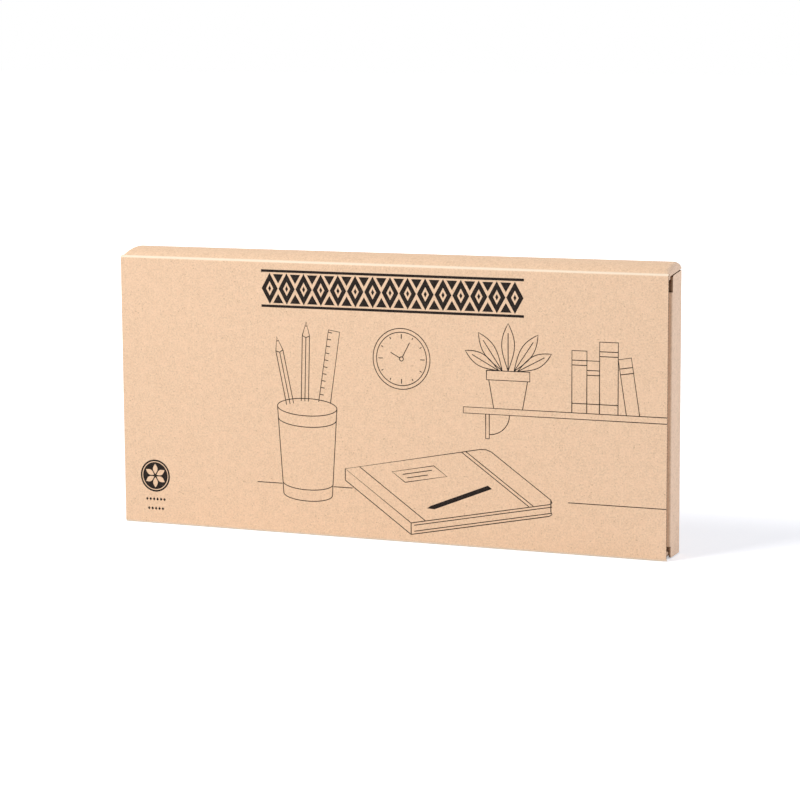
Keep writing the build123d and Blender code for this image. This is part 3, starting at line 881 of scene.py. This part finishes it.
desk_height = 22.0
beside_cup = cup_foot_half + 0.6
desk_lines = [
    [(-60.0, desk_height), (cup_x - beside_cup, desk_height)],
    [(cup_x + beside_cup, desk_height), (-15.0, desk_height)],
    [(82.5, desk_height), (shelf_right, desk_height)],
]
print_lines("printed_desk_edge", desk_lines)

# Tray: plain kraft board, a little darker than the carton, folded into four hollow rails on a flat
# floor. It keeps the organizer off the walls of the carton.
tray_pale = (0.70, 0.49, 0.32, 1.0)
tray_deep = (0.60, 0.40, 0.25, 1.0)
rail_board = kraft_board("kraft_tray", tray_pale, tray_deep, (0, 1, 0), "X")
give_finish(rail_board, "tray_upper_rail", "tray_lower_rail", "tray_left_rail", "tray_right_rail")
tray_floor_board = kraft_board("kraft_tray_floor", tray_pale, tray_deep, (0, 0, 1), "X")
give_finish(tray_floor_board, "tray_floor")


# Organizer: two layers of pressed bamboo, sanded and oiled. The strips run along its length, each
# with its own tone, fine dark fibres and now and then a knuckle of the cane.
def from_half(tree, value):
    """How far a value's fraction is from a half: 0 in the middle of a piece, a half at its ends."""
    from_middle = arithmetic(tree, "SUBTRACT", arithmetic(tree, "FRACT", value), 0.5)
    return arithmetic(tree, "ABSOLUTE", from_middle)


strips_in_metre = 58.0
knuckles_in_metre = 5.0
knuckle_shift = 7.3
bamboo_deep = (0.60, 0.39, 0.19, 1.0)
bamboo_pale = (0.74, 0.52, 0.28, 1.0)
bamboo_cloud = (0.52, 0.32, 0.14, 1.0)
bamboo_fibre = (0.38, 0.21, 0.09, 1.0)
bamboo_joint = (0.30, 0.16, 0.07, 1.0)
bamboo_knuckle = (0.34, 0.19, 0.08, 1.0)
bamboo, tree, shader = new_finish("bamboo", roughness=0.42, specular=0.4)
place = add_node(tree, "TexCoord", {}, {})
place_parts = add_node(tree, "SeparateXYZ", {}, {0: place.outputs["Object"]}).outputs
strips = arithmetic(tree, "MULTIPLY", place_parts["Z"], strips_in_metre)
strip_number = arithmetic(tree, "FLOOR", strips)
strip_noise = add_node(tree, "TexWhiteNoise", {"noise_dimensions": "1D"}, {"W": strip_number})
strip_tone = strip_noise.outputs["Value"]
strip_shift = arithmetic(tree, "MULTIPLY", strip_tone, knuckle_shift)
along_cane = arithmetic(tree, "MULTIPLY_ADD", place_parts["X"], knuckles_in_metre, strip_shift)
cane_fibres = noise_on(tree, (22, 900, 1300), detail=4.0, roughness=0.6)
cane_clouds = noise_on(tree, (9, 60, 60), detail=2.0, roughness=0.5)
cane = mixed_colour(tree, strip_tone, bamboo_deep, bamboo_pale)
for value, low, high, most, colour in (
    (cane_clouds, 0.35, 0.7, 0.4, bamboo_cloud),
    (cane_fibres, 0.48, 0.72, 0.55, bamboo_fibre),
    (from_half(tree, strips), 0.485, 0.5, 0.6, bamboo_joint),
    (from_half(tree, along_cane), 0.488, 0.5, 0.5, bamboo_knuckle),
):
    cane = mixed_colour(tree, share_between(tree, value, low, high, most), cane, colour)
tree.links.new(cane, shader.inputs["Base Color"])
relief(tree, shader, cane_fibres, depth=0.00003)
give_finish(bamboo, "organizer_top", "organizer_base")


# Ring in the phone recess that keeps a phone from sliding: matt black silicone with a fine
# moulded grain, and the pressed felt strip at the bottom of the phone slot.
def moulded(name, colour, worn_colour, roughness, grain_size, depth):
    """A matt moulded surface with a fine grain and soft patches of wear."""
    finish, tree, shader = new_finish(name, roughness, specular=0.4)
    fine = noise_on(tree, (grain_size, grain_size, grain_size), detail=2.0)
    patches = noise_on(tree, (60, 60, 60), detail=3.0)
    patched = mixed_colour(tree, share_between(tree, patches, 0.4, 0.75), colour, worn_colour)
    tree.links.new(patched, shader.inputs["Base Color"])
    relief(tree, shader, fine, depth)
    return finish


silicone = moulded(
    "silicone",
    (0.020, 0.020, 0.022, 1.0),
    (0.034, 0.034, 0.036, 1.0),
    roughness=0.6,
    grain_size=1800,
    depth=0.00001,
)
give_finish(silicone, "anti_slip_ring")
felt_dark = (0.030, 0.030, 0.033, 1.0)
felt_pale = (0.085, 0.085, 0.09, 1.0)
felt, tree, shader = new_finish("pressed_felt", roughness=0.95, specular=0.1)
shader.inputs["Sheen Weight"].default_value = 0.4
felt_wool = noise_on(tree, (900, 2600, 2600), detail=4.0, roughness=0.7)
wool_colour = mixed_colour(tree, share_between(tree, felt_wool, 0.35, 0.7), felt_dark, felt_pale)
tree.links.new(wool_colour, shader.inputs["Base Color"])
relief(tree, shader, felt_wool, depth=0.00015)
give_finish(felt, "slot_strip")

# Cover under the organizer, moulded in matt black plastic, with soft rubber feet pressed in and
# four zinc-plated screws.
cover_plastic = moulded(
    "cover_plastic",
    (0.028, 0.028, 0.030, 1.0),
    (0.040, 0.040, 0.042, 1.0),
    roughness=0.55,
    grain_size=1400,
    depth=0.00003,
)
give_finish(cover_plastic, "base_cover")
foot_rubber = moulded(
    "foot_rubber",
    (0.016, 0.016, 0.016, 1.0),
    (0.030, 0.030, 0.029, 1.0),
    roughness=0.8,
    grain_size=2200,
    depth=0.00002,
)
give_finish(foot_rubber, "rubber_feet")


def metal(name, colour, dull_colour, roughness, lumps):
    """A metal surface with fine marks drawn along one way."""
    finish, tree, shader = new_finish(name, roughness, specular=0.5)
    shader.inputs["Metallic"].default_value = 1.0
    marks = noise_on(tree, lumps, detail=3.0)
    marked = mixed_colour(tree, share_between(tree, marks, 0.35, 0.7), colour, dull_colour)
    tree.links.new(marked, shader.inputs["Base Color"])
    relief(tree, shader, marks, depth=0.000004)
    return finish


zinc = metal(
    "zinc_steel",
    (0.62, 0.62, 0.64, 1.0),
    (0.50, 0.50, 0.53, 1.0),
    roughness=0.35,
    lumps=(2500, 2500, 600),
)
give_finish(zinc, "cover_screws", "board_screws", "power_inlet")

# Charging coil, wound flat from one enamelled copper wire, and the dark sheet of sintered ferrite
# that it is glued on.
copper = metal(
    "enamelled_copper",
    (0.64, 0.27, 0.11, 1.0),
    (0.50, 0.19, 0.07, 1.0),
    roughness=0.28,
    lumps=(1500, 1500, 1500),
)
give_finish(copper, "charging_coil")
ferrite = moulded(
    "ferrite",
    (0.045, 0.045, 0.050, 1.0),
    (0.070, 0.070, 0.074, 1.0),
    roughness=0.5,
    grain_size=900,
    depth=0.00001,
)
give_finish(ferrite, "ferrite_sheet")

# Control board of green laminate with faint copper tracks under the lacquer, and its black chips,
# moulded in epoxy and soldered on.
lacquer_green = (0.012, 0.090, 0.035, 1.0)
track_green = (0.035, 0.170, 0.070, 1.0)
laminate, tree, shader = new_finish("board_laminate", roughness=0.32, specular=0.5)
tracks = noise_on(tree, (160, 160, 160), detail=0.0)
track_bands = arithmetic(tree, "PINGPONG", tracks, 0.03)
track_share = share_between(tree, track_bands, 0.018, 0.022, 0.6)
tracked = mixed_colour(tree, track_share, lacquer_green, track_green)
tree.links.new(tracked, shader.inputs["Base Color"])
give_finish(laminate, "control_board")
chip_epoxy = moulded(
    "chip_epoxy",
    (0.018, 0.018, 0.020, 1.0),
    (0.028, 0.028, 0.030, 1.0),
    roughness=0.4,
    grain_size=3000,
    depth=0.000006,
)
give_finish(chip_epoxy, "board_chips")
